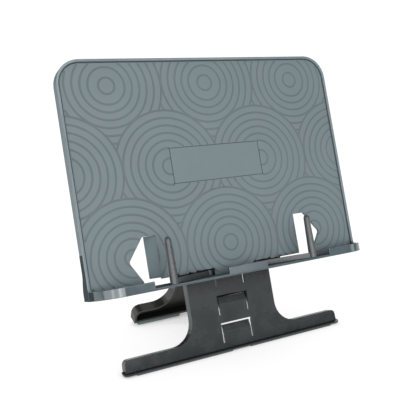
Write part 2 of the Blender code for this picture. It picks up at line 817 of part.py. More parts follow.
def rear_pad_block(name, side, grow):
    """Body of a rear pad, or its groove when grown by a clearance."""
    front = -REAR_FRONT - REAR_PAD_LEAD - grow * OVERRUN / CLEARANCE
    back = -REAR_FRONT + REAR_PAD_WIDTH + grow
    top = REAR_PAD_SEAT + grow - REAR_LENGTH
    profile = [
        (front, top),
        (front, floor_under_rear(front)),
        (back, floor_under_rear(back)),
        (back, top),
    ]
    ends = sorted((side * (REAR_PAD_INNER - grow), side * (REAR_PAD_OUTER + grow)))
    return prism(name, profile, *ends, "yzx", hinge_frame())


def floor_under_rear(offset):
    """Place of the floor along the rear leg at an offset behind the hinge axis."""
    return -HINGE_ABOVE_FLOOR / math.cos(REAR_LEAN) - offset * math.tan(REAR_LEAN)


def make_pads(material_of):
    """Four rubber pads, two under each foot."""
    for side, word in ((-1, "left"), (1, "right")):
        front = front_pad_block("pad", side, 0)
        finish(front, f"front_pad_{word}", material_of(f"front_pad_{word}"))
        rear = rear_pad_block("pad", side, 0)
        finish(rear, f"rear_pad_{word}", material_of(f"rear_pad_{word}"))


def make_hinge_pin(pin_material, clip_material):
    """Steel pin of the leg hinge, with a head at the right and a push-on clip at the left."""
    frame = tray_frame()
    centre = (0, HINGE_SETBACK, HINGE_HEIGHT)
    seat = COLUMN_HALF + CLEARANCE
    end = seat + HINGE_PIN_HEAD
    profile = [
        (-end - HINGE_PIN_HEAD, HINGE_PIN_RADIUS),
        (seat, HINGE_PIN_RADIUS),
        (seat, HINGE_PIN_HEAD_RADIUS),
        (seat + HINGE_PIN_HEAD / 2, HINGE_PIN_HEAD_RADIUS),
        (end, HINGE_PIN_HEAD_RADIUS - HINGE_PIN_HEAD / 2),
    ]
    pin = turned("pin", profile, "x", centre, ROUND_SIDES, frame)
    finish(pin, "leg_hinge_pin", pin_material)
    clip = rod("clip", HINGE_PIN_HEAD_RADIUS, -end, -seat, "x", centre, ROUND_SIDES, frame)
    bore = rod(
        "bore",
        HINGE_PIN_RADIUS + CLEARANCE,
        -end - OVERRUN,
        -seat + OVERRUN,
        "x",
        centre,
        ROUND_SIDES,
        frame,
    )
    combine(clip, "DIFFERENCE", bore)
    return finish(clip, "leg_hinge_clip", clip_material)


def make_holder(side, word, material):
    """Page holder: an eye on its pin, a bar and an upright tapered post."""
    frame = holder_frame(side)
    foot = BAR_FOOT
    top = BAR_FOOT + BAR_HEIGHT
    half = BAR_THICKNESS / 2
    eye = rod("eye", EYE_RADIUS, foot, top, "z", (0, 0, 0), ROUND_SIDES, frame)
    span = sorted((0, side * ARM_LENGTH))
    bar = block("bar", span, (-half, half), (foot, top), frame)
    profile = [(foot, POST_BASE_RADIUS)]
    shoulder = POST_TOP - POST_TIP_RADIUS
    profile.append((top, POST_BASE_RADIUS))
    for step in range(DOME_STEPS):
        angle = math.pi / 2 * step / DOME_STEPS
        height = shoulder + POST_TIP_RADIUS * math.sin(angle)
        profile.append((height, POST_TIP_RADIUS * math.cos(angle)))
    profile.append((POST_TOP, 0))
    post = turned("post", profile, "z", (side * ARM_LENGTH, 0, 0), ROUND_SIDES, frame)
    bore = rod(
        "bore",
        HOLDER_PIN_RADIUS + CLEARANCE,
        foot - OVERRUN,
        top + OVERRUN,
        "z",
        (0, 0, 0),
        SMALL_ROUND_SIDES,
        frame,
    )
    combine(eye, "UNION", bar, post)
    combine(eye, "DIFFERENCE", bore)
    return finish(eye, f"page_holder_{word}", material)


def make_holder_pin(side, word, pin_material, clip_material):
    """Pin that a page holder swings on, headed above its housing and clipped below."""
    frame = tray_frame()
    centre = (side * PIVOT_SIDE, PIVOT_DEPTH, 0)
    seat = HOUSING_TOP + CLEARANCE
    tail = -CLEARANCE - HOLDER_CLIP_THICKNESS
    profile = [
        (tail - CLEARANCE, HOLDER_PIN_RADIUS),
        (seat, HOLDER_PIN_RADIUS),
        (seat, HOLDER_PIN_HEAD_RADIUS),
        (seat + HOLDER_PIN_HEAD, HOLDER_PIN_HEAD_RADIUS),
    ]
    pin = turned("pin", profile, "z", centre, SMALL_ROUND_SIDES, frame)
    finish(pin, f"holder_pin_{word}", pin_material)
    clip = rod(
        "clip", HOLDER_CLIP_RADIUS, tail, -CLEARANCE, "z", centre, SMALL_ROUND_SIDES, frame
    )
    bore = rod(
        "bore",
        HOLDER_PIN_RADIUS + CLEARANCE,
        tail - OVERRUN,
        OVERRUN,
        "z",
        centre,
        SMALL_ROUND_SIDES,
        frame,
    )
    combine(clip, "DIFFERENCE", bore)
    return finish(clip, f"holder_clip_{word}", clip_material)


def clear_scene():
    """Remove every object that the file holds."""
    for item in list(bpy.data.objects):
        bpy.data.objects.remove(item)


def main():
    """Build every piece of the reading stand."""
    clear_scene()
    make_tray(make_material("page_tray", SLATE, 0.45))
    make_guide(make_material("guide_frame", CHARCOAL, 0.50))
    for name, place in boss_places().items():
        make_guide_screw(name, place, make_material(name, STEEL, 0.35, 1.0))
    make_front_leg(make_material("front_leg", CHARCOAL, 0.48))
    make_rear_leg(make_material("rear_leg", CHARCOAL, 0.48))
    make_hinge_pin(
        make_material("leg_hinge_pin", STEEL, 0.30, 1.0),
        make_material("leg_hinge_clip", STEEL, 0.30, 1.0),
    )
    make_pads(lambda name: make_material(name, PAD_GREY, 0.80))
    for side, word in ((-1, "left"), (1, "right")):
        make_holder(side, word, make_material(f"page_holder_{word}", UMBER, 0.40))
        make_holder_pin(
            side,
            word,
            make_material(f"holder_pin_{word}", STEEL, 0.30, 1.0),
            make_material(f"holder_clip_{word}", STEEL, 0.30, 1.0),
        )


main()
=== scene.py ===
"""Looks of the folding reading stand: ring pattern, plaque, materials, light and camera.

Lengths are in metres. The tray's face has its own coordinates: u to the right, v up the
face from the middle of the pages' face mount, and n out of the face toward the reader.
Names that end in FOOT, TOP or ROW are places along v.
"""

import json
import math

import bmesh
import bpy
from mathutils import Matrix, Vector

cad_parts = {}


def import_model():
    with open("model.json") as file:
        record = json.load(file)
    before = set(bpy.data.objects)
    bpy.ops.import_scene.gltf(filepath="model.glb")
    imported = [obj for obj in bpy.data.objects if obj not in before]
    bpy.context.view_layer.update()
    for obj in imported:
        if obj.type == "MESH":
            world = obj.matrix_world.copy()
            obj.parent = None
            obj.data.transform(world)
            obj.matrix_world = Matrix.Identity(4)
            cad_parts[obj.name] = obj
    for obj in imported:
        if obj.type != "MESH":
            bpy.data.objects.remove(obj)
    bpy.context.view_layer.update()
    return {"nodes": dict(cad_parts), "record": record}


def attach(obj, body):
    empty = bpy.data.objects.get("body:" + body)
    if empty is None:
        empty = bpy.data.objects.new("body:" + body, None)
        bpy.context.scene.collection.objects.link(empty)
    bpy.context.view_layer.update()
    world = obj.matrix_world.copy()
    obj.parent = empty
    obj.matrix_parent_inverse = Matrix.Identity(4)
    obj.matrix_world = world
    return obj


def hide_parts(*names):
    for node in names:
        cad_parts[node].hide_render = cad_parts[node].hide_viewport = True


MM = 0.001

# Camera
CAMERA_PLACE = (-0.34273, -0.60701, 0.33392)
CAMERA_YAW = math.radians(28.465)
CAMERA_PITCH = math.radians(-14.665)
CAMERA_LENS = 54.478
CAMERA_CLIP = 10.0 * MM
SENSOR_WIDTH = 36.0

# White floor for the camera, and a dimmer disc under it whose light falls on the stand
FLOOR_RADIUS = 30.0
FLOOR_SIDES = 96
FLOOR_GLOW = 1.06
BOUNCE_GLOW = 0.49
BOUNCE_DROP = 1.0 * MM

# Shade on the floor: close to what stands on it, and further out
CONTACT_REACH = 8.0 * MM
CONTACT_DEPTH = 0.4
SHADE_REACH = 200.0 * MM
SHADE_DEPTH = 0.18
SHADE_SAMPLES = 8

# Far soft lights: name, bearing from the front and height over the floor in degrees, the
# width in degrees at which the light is seen, and its strength
SOFT_LIGHTS = (
    ("front", 1.0, 17.0, 25.0, 0.60),
    ("front_high", 8.0, 44.0, 26.0, 0.72),
    ("front_left", -20.0, 9.0, 40.0, 1.05),
    ("left", -52.0, 12.0, 40.0, 0.90),
    ("front_right", 29.0, 25.0, 20.0, 0.28),
    ("right", 56.0, 12.0, 20.0, 0.20),
    ("back_left", -122.0, 23.0, 45.0, 1.00),
    ("back_right", 130.0, 30.0, 45.0, 0.80),
    ("top", 0.0, 80.0, 45.0, 0.20),
)

# Tray, as in the CAD: outline, rim, and the ledge with its lips and the cheeks at its ends
TRAY_HALF = 170.0 * MM
TRAY_HEIGHT = 247.0 * MM
TRAY_CORNER = 27.0 * MM
BACK_DEPTH = 10.0 * MM
RIM_WIDTH = 3.0 * MM
RIM_RISE = 2.0 * MM
RIM_FOOT = -137.6 * MM
LEDGE_FOOT = -150.0 * MM
LIP_TOP = -140.5 * MM
LIP_ENDS = (24.2 * MM, 109.4 * MM)
CHEEK_TOP = -103.4 * MM

# Field: the flat of the tray's face inside its rim
FIELD_HALF = TRAY_HALF - RIM_WIDTH
FIELD_TOP = LEDGE_FOOT + TRAY_HEIGHT - RIM_WIDTH
FIELD_FOOT = -146.6 * MM
FIELD_CORNER = TRAY_CORNER - RIM_WIDTH

# Ring pattern: radii of the rings of one disc, and the pitch of the discs
RING_RADII = [radius * MM for radius in (8.9, 20.2, 28.6, 37.0, 45.3, 53.7, 62.1)]
RING_PITCH_ACROSS = 116.7 * MM
RING_PITCH_UP = 91.4 * MM
RING_MIDDLE_ROW = -23.1 * MM

# Grooves of the rings: section, and how far their edges stay off the rim and the ledge
GROOVE_WIDTH = 2.3 * MM
GROOVE_FLOOR = 1.5 * MM
GROOVE_DEPTH = 0.45 * MM
GROOVE_STOP = 1.15 * MM
CUTTER_PROUD = 0.4 * MM

# Trench along the foot of the rim; its darker plastic is painted shade, the dark line where the
# rim meets the face
TRENCH_GAP = 0.1 * MM
TRENCH_WIDTH = 0.9 * MM
TRENCH_FLOOR = 0.9 * TRENCH_WIDTH
TRENCH_DEPTH = 0.5 * MM

# Angle steps of the arcs and of the search for a ring's ends, and the halvings that refine it
ARC_STEP = math.radians(4)
SAMPLE_STEP = math.radians(1)
HALVINGS = 12

# Plaque
PLAQUE_HALF = 57.0 * MM
PLAQUE_FOOT = -42.7 * MM
PLAQUE_TOP = -3.0 * MM
PLAQUE_GAP = 0.7 * MM
PLAQUE_DEPTH = 0.8 * MM

# Roundings of the tray's edges; a profile of 0.5 is a circular one
RIM_ROUND = 0.8 * MM
RIM_SEGMENTS = 4
RIM_INNER_ROUND = 0.9 * MM
RIM_INNER_SEGMENTS = 3
BACK_ROUND = 0.5 * MM
BACK_SEGMENTS = 3
LIP_ROUND = 0.5 * MM
LIP_SEGMENTS = 2
ROUND_PROFILE = 0.5

# Ribs inside the front leg, behind the edges of the slits of its latch windows; the leg's
# inner face is a place along n
WINDOW_TOP = -140.9 * MM
WINDOW_PITCH = 31.1 * MM
WINDOW_COUNT = 3
WINDOW_HEIGHT = 22.0 * MM
WINDOW_HALF = 19.75 * MM
SLIT_WIDTH = 2.3 * MM
LEG_INSIDE = -20.25 * MM
RIB_HEIGHT = 1.2 * MM
RIB_WIDTH = 1.2 * MM

# Tolerances of the mesh work
FACE_TOLERANCE = 0.05 * MM
EDGE_TOLERANCE = 0.3 * MM
MERGE_DISTANCE = 0.001 * MM
FLAT_ANGLE = math.radians(0.3)
SHARP_ANGLE = math.radians(32)

# Sides of a box, by its corners: the one at ends i, j and k of its ranges is 4 i + 2 j + k
BOX_SIDES = ((0, 1, 3, 2), (4, 5, 7, 6), (0, 1, 5, 4), (2, 3, 7, 6), (0, 2, 6, 4), (1, 3, 7, 5))

# Least share of a normal that points up the face on the shelf, and across it on a cheek; the
# polygons these pick get darker plastics as painted shade
SHELF_LEVEL = 0.9
CHEEK_TURN = 0.93

# Plastics: colour, and colour of worn edges, in sRGB steps of 255; roughness; noise scale and
# depth of the moulded grain; and what differs from moulded_plastic's usual values
FINE_GRAIN = 1800.0
SMOOTH_GRAIN = 900.0
WORN_SLATE = (126, 140, 145)
# The crevice values set painted shade: how far and how deep the colour darkens in crevices
PLASTICS = {
    "face_plastic": dict(
        colour=(107, 122, 127), worn=WORN_SLATE, roughness=0.5,
        grain=FINE_GRAIN, grain_depth=0.006 * MM, clouding=0.03),
    "rim_plastic": dict(
        colour=(117, 132, 137), worn=(145, 159, 164), roughness=0.15,
        grain=SMOOTH_GRAIN, grain_depth=0.003 * MM, painted_shade_depth=0.1),
    "ledge_plastic": dict(
        colour=(84, 97, 102), worn=WORN_SLATE, roughness=0.14,
        grain=SMOOTH_GRAIN, grain_depth=0.003 * MM, specular=0.8),
    # The shelf faces up the face: a darker copy of the slate without reflection, as painted shade
    "shelf_painted_shade_plastic": dict(
        colour=(97, 110, 115), worn=(109, 121, 126), roughness=0.6,
        grain=SMOOTH_GRAIN, grain_depth=0.003 * MM, specular=0.0),
    # The lower side walls and the side faces at the ends of the ledge: a darker copy of the
    # slate, as painted shade
    "cheek_painted_shade_plastic": dict(
        colour=(58, 67, 71), worn=(70, 79, 83), roughness=0.4,
        grain=SMOOTH_GRAIN, grain_depth=0.004 * MM, specular=0.01),
    # The ring grooves: a darker copy of the slate, as painted shade in the grooves
    "groove_painted_shade_plastic": dict(
        colour=(98, 110, 114), worn=(98, 110, 114), roughness=0.6,
        grain=FINE_GRAIN, grain_depth=0.01 * MM),
    # The trench: a still darker copy of the slate, as painted shade along the foot of the rim
    "trench_painted_shade_plastic": dict(
        colour=(78, 88, 92), worn=(78, 88, 92), roughness=0.6,
        grain=FINE_GRAIN, grain_depth=0.01 * MM),
    "leg_plastic": dict(
        colour=(48, 53, 54), worn=(65, 71, 72), roughness=0.27,
        grain=FINE_GRAIN, grain_depth=0.01 * MM, painted_shade_reach=20.0 * MM, painted_shade_depth=2.0),
    "rear_plastic": dict(
        colour=(45, 45, 43), worn=(60, 60, 57), roughness=0.36,
        grain=FINE_GRAIN, grain_depth=0.03 * MM, painted_shade_reach=30.0 * MM, painted_shade_depth=1.5),
    "holder_plastic": dict(
        colour=(76, 79, 81), worn=(90, 93, 95), roughness=0.28,
        grain=FINE_GRAIN, grain_depth=0.01 * MM, specular=0.6),
}
TRAY_PLASTICS = ("face_plastic", "rim_plastic", "ledge_plastic", "shelf_painted_shade_plastic",
                 "cheek_painted_shade_plastic", "groove_painted_shade_plastic", "trench_painted_shade_plastic")

# Rubbers and steels: colour in sRGB steps of 255
# The rear rubber is lighter than the front one: painted light on the rear pads, which stand in
# shade
RUBBERS = {"front_rubber": (71, 78, 79), "rear_rubber_painted_light": (105, 116, 116)}
# The holder pins get a darker steel than the other pins
STEELS = {"pin_steel": (150, 152, 154), "blackened_steel": (60, 60, 62)}

# Steps of the shaders: the range that noise mostly keeps to, the cosines between true and
# rounded normals at which wear starts and is full, and the samples of the costly nodes
NOISE_RANGE = (0.3, 0.7)
WEAR_COSINES = (0.999, 0.9)
BEVEL_SAMPLES = 6
PAINTED_SHADE_SAMPLES = 16
BLACK = (0.0, 0.0, 0.0, 1.0)
WHITE = (1.0, 1.0, 1.0, 1.0)

# Moulded plastic: clouds, scuffs and sheen as noise scales, and widths of worn and soft edges
CLOUD_SCALE = 14.0
SCUFF_SCALE = 90.0
SCUFF_MOST = 0.6
SHEEN_SCALE = 60.0
SHEEN_SWING = 0.05
WORN_WIDTH = 0.5 * MM
SOFT_WIDTH = 0.35 * MM

# Rubber
DUST_SCALE = 700.0
DUST_DARK = 0.75
SMEAR_SCALE = 200.0
RUBBER_ROUGHNESS = (0.7, 0.9)
RUBBER_GRAIN = 2500.0
RUBBER_GRAIN_DEPTH = 0.04 * MM

# Turned steel
STREAK_SCALE = 900.0
STREAK_STRETCH = (4.0, 1.0, 1.0)
STREAK_DARK = 0.8
STREAK_DEPTH = 0.01 * MM
DULL_SCALE = 150.0
STEEL_ROUGHNESS = (0.25, 0.45)


class Face:
    """Coordinates of the tray's face."""

    def __init__(self, record):
        mount = next(m for m in record["mounts"] if m["name"] == "page_face")
        self.origin = Vector(mount["pos_m"])
        self.out = Vector(mount["axis"]).normalized()
        self.across = Vector((1, 0, 0))
        self.up = self.out.cross(self.across)

    def point(self, u, v, n=0.0):
        """The point at a u, v and n."""
        return self.origin + self.across * u + self.up * v + self.out * n

    def place(self, point):
        """The u, v and n of a point."""
        return tuple((point - self.origin).dot(axis)
                     for axis in (self.across, self.up, self.out))


def field_depth(u, v):
    """How far a place lies inside the outline of the field; negative outside it."""
    reach_u = abs(u) - FIELD_HALF + FIELD_CORNER
    reach_v = v - FIELD_TOP + FIELD_CORNER
    if reach_u > 0 and reach_v > 0:
        return FIELD_CORNER - math.hypot(reach_u, reach_v)
    return min(FIELD_HALF - abs(u), FIELD_TOP - v)


def in_field(u, v, margin):
    """True on the field, at least a margin from its rim and its ledge, and off the plaque."""
    plaque = abs(u) < PLAQUE_HALF and PLAQUE_FOOT < v < PLAQUE_TOP
    return field_depth(u, v) > margin and v > FIELD_FOOT + margin and not plaque


# Meshes

def new_piece(name, mesh):
    """Turns a bmesh into an object with faces that point outward."""
    bmesh.ops.recalc_face_normals(mesh, faces=mesh.faces)
    data = bpy.data.meshes.new(name)
    mesh.to_mesh(data)
    mesh.free()
    piece = bpy.data.objects.new(name, data)
    bpy.context.scene.collection.objects.link(piece)
    return piece


def bake_modifiers(piece):
    """Puts the result of a piece's modifiers into its mesh."""
    depsgraph = bpy.context.evaluated_depsgraph_get()
    baked = bpy.data.meshes.new_from_object(piece.evaluated_get(depsgraph))
    piece.modifiers.clear()
    piece.data = baked


def shade_smooth(piece):
    """Smooth shading that keeps flats flat and sharp edges sharp."""
    piece.data.polygons.foreach_set("use_smooth", [True] * len(piece.data.polygons))
    piece.data.set_sharp_from_angle(angle=SHARP_ANGLE)
    weighted = piece.modifiers.new("weighted", "WEIGHTED_NORMAL")
    weighted.keep_sharp = True
    bake_modifiers(piece)


def add_box(mesh, face, u_range, v_range, n_range):
    """Adds a box in face coordinates to a bmesh."""
    corners = [mesh.verts.new(face.point(u, v, n))
               for u in u_range for v in v_range for n in n_range]
    for side in BOX_SIDES:
        mesh.faces.new([corners[i] for i in side])


def add_sweep(mesh, face, stations, section, closed):
    """Adds a body to a bmesh: the section, as pairs of a sideways and an outward place,
    carried along the stations, each a u, a v and the two parts of its sideways direction."""
    rings = [[mesh.verts.new(face.point(u + side * across, v + side * up, height))
              for side, height in section] for u, v, across, up in stations]
    following = rings[1:] + (rings[:1] if closed else [])
    for here, ahead in zip(rings, following):
        for k in range(len(section)):
            after = (k + 1) % len(section)
            mesh.faces.new((here[k], here[after], ahead[after], ahead[k]))
    if not closed:
        mesh.faces.new(rings[0])
        mesh.faces.new(list(reversed(rings[-1])))


# Cutters of the ring pattern

def ring_discs():
    """Disc centres from the frontmost to the rearmost: the bottom row lies in front, and
    every other row is shifted by half a pitch."""
    discs = []
    for row in (-1, 0, 1):
        v = RING_MIDDLE_ROW + row * RING_PITCH_UP
        offsets = (-1, 0, 1) if row else (-1.5, -0.5, 0.5, 1.5)
        discs += [(offset * RING_PITCH_ACROSS, v) for offset in offsets]
    return discs


def ring_spans(centre, radius, in_front):
    """Stretches of one ring that show, as pairs of angles: those that no disc in front hides
    and that lie on the field, clear of the rim, the ledge and the plaque."""
    reach = RING_RADII[-1]

    def place(angle, distance):
        return centre[0] + distance * math.cos(angle), centre[1] + distance * math.sin(angle)

    def shows(angle):
        u, v = place(angle, radius)
        if any(math.hypot(u - cu, v - cv) <= reach for cu, cv in in_front):
            return False
        return all(in_field(*place(angle, radius + side), GROOVE_STOP)
                   for side in (-GROOVE_WIDTH / 2, GROOVE_WIDTH / 2))

    def edge(hidden, shown):
        for _ in range(HALVINGS):
            middle = (hidden + shown) / 2
            hidden, shown = (hidden, middle) if shows(middle) else (middle, shown)
        return shown

    count = round(math.tau / SAMPLE_STEP)
    flags = [shows(i * SAMPLE_STEP) for i in range(count)]
    if all(flags):
        return [(0.0, math.tau)]
    spans = []
    for i in range(count):
        if flags[i] and not flags[i - 1]:
            last = i
            while flags[(last + 1) % count]:
                last += 1
            start = edge((i - 1) * SAMPLE_STEP, i * SAMPLE_STEP)
            spans.append((start, edge((last + 1) * SAMPLE_STEP, last * SAMPLE_STEP)))
    return spans


def cutter_section(width, floor, depth):
    """Section of a groove's cutter, as pairs of a sideways and an outward place."""
    half_top = width / 2 + CUTTER_PROUD * (width - floor) / 2 / depth
    return [(-half_top, CUTTER_PROUD), (half_top, CUTTER_PROUD),
            (floor / 2, -depth), (-floor / 2, -depth)]


def add_ring(mesh, face, centre, radius, start, end):
    """Adds the cutter of one stretch of ring to a bmesh."""
    steps = max(2, math.ceil((end - start) / ARC_STEP))
    closed = end - start >= math.tau - SAMPLE_STEP / 2
    stations = []
    for i in range(steps if closed else steps + 1):
        angle = start + (end - start) * i / steps
        across, up = math.cos(angle), math.sin(angle)
        stations.append((centre[0] + radius * across, centre[1] + radius * up, across, up))
    section = cutter_section(GROOVE_WIDTH, GROOVE_FLOOR, GROOVE_DEPTH)
    add_sweep(mesh, face, stations, section, closed)


def add_trench(mesh, face):
    """Adds the cutter of the trench to a bmesh: up one side, over the top and down."""
    inset = TRENCH_GAP + TRENCH_WIDTH / 2
    radius = FIELD_CORNER - inset
    right = [(FIELD_HALF - inset, FIELD_FOOT, 1.0, 0.0)]
    steps = math.ceil(math.pi / 2 / ARC_STEP)
    for i in range(steps + 1):
        angle = math.pi / 2 * i / steps
        across, up = math.cos(angle), math.sin(angle)
        right.append((FIELD_HALF - FIELD_CORNER + radius * across,
                      FIELD_TOP - FIELD_CORNER + radius * up, across, up))
    left = [(-u, v, -across, up) for u, v, across, up in reversed(right)]
    section = cutter_section(TRENCH_WIDTH, TRENCH_FLOOR, TRENCH_DEPTH)
    add_sweep(mesh, face, right + left, section, closed=False)


def make_cutter(face):
    """One object with the cutters of all rings, of the trench and of the plaque's pocket."""
    mesh = bmesh.new()
    discs = ring_discs()
    for order, centre in enumerate(discs):
        for radius in RING_RADII:
            for start, end in ring_spans(centre, radius, discs[:order]):
                add_ring(mesh, face, centre, radius, start, end)
    add_trench(mesh, face)
    add_box(mesh, face, (-PLAQUE_HALF, PLAQUE_HALF), (PLAQUE_FOOT, PLAQUE_TOP),
            (-PLAQUE_DEPTH, CUTTER_PROUD))
    return new_piece("pattern_cutter", mesh)


# Tray

def near(value, target):
    """True if a value agrees with its target within the tolerance of an edge."""
    return abs(value - target) < EDGE_TOLERANCE


def on_lip(u, v, n):
    """True well above the rim, along the lips and the ledge and at the ends of the lips."""
    along = near(v, LIP_TOP) or near(v, LEDGE_FOOT)
    return n > RIM_RISE + RIM_WIDTH and (along or any(near(abs(u), end) for end in LIP_ENDS))


def cut_across(mesh, face, v):
    """Adds edges where the plane at one v crosses the mesh; its shape stays."""
    bmesh.ops.bisect_plane(mesh, geom=mesh.verts[:] + mesh.edges[:] + mesh.faces[:],
                           dist=MERGE_DISTANCE, plane_co=face.point(0, v), plane_no=face.up)


def round_edges(mesh, face, chosen, radius, segments):
    """Rounds the outward sharp edges whose two ends are both chosen by their u, v and n."""
    edges = [edge for edge in mesh.edges
             if edge.is_manifold and edge.is_convex and edge.calc_face_angle() > SHARP_ANGLE
             and all(chosen(*face.place(vert.co)) for vert in edge.verts)]
    bmesh.ops.bevel(mesh, geom=edges, offset=radius, offset_type="OFFSET", segments=segments,
                    profile=ROUND_PROFILE, affect="EDGES", clamp_overlap=True)


def round_outline(mesh, face, depth, height, foot, radius, segments):
    """Rounds the edges along the tray's outline at one depth and height, down to a foot."""
    def chosen(u, v, n):
        return (near(n, height) and v > foot - EDGE_TOLERANCE
                and near(field_depth(u, v), depth))

    round_edges(mesh, face, chosen, radius, segments)


def round_tray(mesh, face):
    """Rounds both edges of the rim, the rear edge of the outline, and the lips."""
    cut_across(mesh, face, RIM_FOOT)
    cut_across(mesh, face, CHEEK_TOP)
    round_outline(mesh, face, -RIM_WIDTH, RIM_RISE, RIM_FOOT, RIM_ROUND, RIM_SEGMENTS)
    round_outline(mesh, face, 0.0, RIM_RISE, RIM_FOOT, RIM_INNER_ROUND, RIM_INNER_SEGMENTS)
    round_outline(mesh, face, -RIM_WIDTH, -BACK_DEPTH, CHEEK_TOP, BACK_ROUND, BACK_SEGMENTS)
    round_edges(mesh, face, on_lip, LIP_ROUND, LIP_SEGMENTS)


def make_tray(source, face):
    """The tray with rounded edges, and with the rings, trench and plaque's pocket cut in."""
    mesh = bmesh.new()
    mesh.from_mesh(source.data)
    bmesh.ops.remove_doubles(mesh, verts=mesh.verts, dist=MERGE_DISTANCE)
    bmesh.ops.dissolve_limit(mesh, angle_limit=FLAT_ANGLE, verts=mesh.verts, edges=mesh.edges)
    round_tray(mesh, face)
    tray = new_piece("tray_with_pattern", mesh)
    cutter = make_cutter(face)
    boolean = tray.modifiers.new("pattern", "BOOLEAN")
    boolean.object = cutter
    boolean.operation = "DIFFERENCE"
    boolean.solver = "EXACT"
    boolean.use_self = True
    bake_modifiers(tray)
    bpy.data.objects.remove(cutter)
    shade_smooth(tray)
    return tray


def in_relief(polygon, data, face):
    """True if a polygon lies in a groove, the trench or the pocket, and goes no deeper."""
    u, v, n = face.place(polygon.center)
    floor = -PLAQUE_DEPTH - FACE_TOLERANCE
    return (n < -FACE_TOLERANCE and v > FIELD_FOOT and field_depth(u, v) > 0
            and all(face.place(data.vertices[i].co)[2] >= floor for i in polygon.vertices))


def tray_plastic(polygon, data, face):
    """Name of the plastic of one polygon of the tray, by its place and the way it faces; the
    grooves, trench, cheeks and shelf get darker plastics as painted shade.
    """
    u, v, n = face.place(polygon.center)
    depth = field_depth(u, v)
    if in_relief(polygon, data, face):
        # Painted shade: polygons in the grooves and the trench get darker plastics
        in_trench = depth < TRENCH_GAP + TRENCH_WIDTH + FACE_TOLERANCE
        return "trench_painted_shade_plastic" if in_trench else "groove_painted_shade_plastic"
    # Painted shade: the lower side walls get a darker plastic
    if v < CHEEK_TOP and depth < -RIM_ROUND and n < RIM_RISE - RIM_ROUND:
        return "cheek_painted_shade_plastic"
    if n > RIM_RISE + FACE_TOLERANCE:
        # Painted shade: faces turned sideways at the ends of the ledge get the same darker
        # plastic
        turned = abs(polygon.normal.dot(face.across)) > CHEEK_TURN
        if turned and abs(u) > FIELD_HALF - FIELD_CORNER:
            return "cheek_painted_shade_plastic"
        # Painted shade: the shelf, which faces up the face, gets a darker plastic without
        # reflection
        level = polygon.normal.dot(face.up) > SHELF_LEVEL
        return "shelf_painted_shade_plastic" if level and v < LIP_TOP - LIP_ROUND else "ledge_plastic"
    return "rim_plastic" if n > FACE_TOLERANCE else "face_plastic"


# Plaque and ribs

def make_plaque(face):
    """Bare plate that lies flush in its pocket."""
    mesh = bmesh.new()
    add_box(mesh, face, (PLAQUE_GAP - PLAQUE_HALF, PLAQUE_HALF - PLAQUE_GAP),
            (PLAQUE_FOOT + PLAQUE_GAP, PLAQUE_TOP - PLAQUE_GAP), (-PLAQUE_DEPTH, 0.0))
    return new_piece("plaque", mesh)


def make_window_ribs(face):
    """Thin ribs behind both edges of each slit."""
    mesh = bmesh.new()
    for window in range(WINDOW_COUNT):
        top = WINDOW_TOP - window * WINDOW_PITCH
        for outer in (WINDOW_HALF + RIB_WIDTH, WINDOW_HALF - SLIT_WIDTH):
            for side in (-1, 1):
                add_box(mesh, face, (side * outer, side * (outer - RIB_WIDTH)),
                        (top - WINDOW_HEIGHT, top - SLIT_WIDTH),
                        (LEG_INSIDE - RIB_HEIGHT, LEG_INSIDE))
    return new_piece("window_ribs", mesh)


# Steps of the shaders

def linear(red, green, blue):
    """Linear colour of an sRGB one given in steps of 255."""
    def channel(value):
        share = value / 255
        return share / 12.92 if share <= 0.04045 else ((share + 0.055) / 1.055) ** 2.4
    return (channel(red), channel(green), channel(blue), 1.0)


def toned(colour, factor):
    """A colour made lighter or darker."""
    return tuple(channel * factor for channel in colour[:3]) + (1.0,)


def new_material(name):
    """A material, its node tree and its Principled shader."""
    material = bpy.data.materials.new(name)
    material.use_nodes = True
    tree = material.node_tree
    return material, tree, tree.nodes["Principled BSDF"]


def feed(tree, node, inputs):
    """Gives a node's inputs, by name or place, plain values or other nodes' outputs."""
    for key, value in inputs.items():
        if isinstance(value, bpy.types.NodeSocket):
            tree.links.new(value, node.inputs[key])
        else:
            node.inputs[key].default_value = value


def add_node(tree, kind, inputs=None, **settings):
    """Adds a shader node of a kind. Its settings come before its inputs are fed."""
    node = tree.nodes.new("ShaderNode" + kind)
    for name, value in settings.items():
        setattr(node, name, value)
    feed(tree, node, inputs or {})
    return node


def calculate(tree, operation, first, second):
    """The result of a Math operation on two values."""
    return add_node(tree, "Math", {0: first, 1: second}, operation=operation).outputs["Value"]


def map_range(tree, value, source, target=(0.0, 1.0)):
    """Maps a value from one range to another, and holds it within that."""
    inputs = {"From Min": source[0], "From Max": source[1],
              "To Min": target[0], "To Max": target[1], "Value": value}
    return add_node(tree, "MapRange", inputs).outputs["Result"]


def noise(tree, scale, detail=2.0, stretch=None):
    """Noise over the object's own coordinates, optionally stretched along an axis."""
    place = add_node(tree, "TexCoord").outputs["Object"]
    if stretch:
        place = add_node(tree, "Mapping", {"Scale": stretch, "Vector": place}).outputs["Vector"]
    inputs = {"Scale": scale, "Detail": detail, "Vector": place}
    return add_node(tree, "TexNoise", inputs).outputs["Fac"]


def mix_colours(tree, factor, first, second):
    """The first colour where the factor is 0, and the second where it is 1."""
    inputs = {"A": first, "B": second, "Factor": factor}
    return add_node(tree, "Mix", inputs, data_type="RGBA").outputs["Result"]


def rounded_normal(tree, radius):
    """The normal that a surface has once its sharp edges are rounded."""
    return add_node(tree, "Bevel", {"Radius": radius}, samples=BEVEL_SAMPLES).outputs["Normal"]


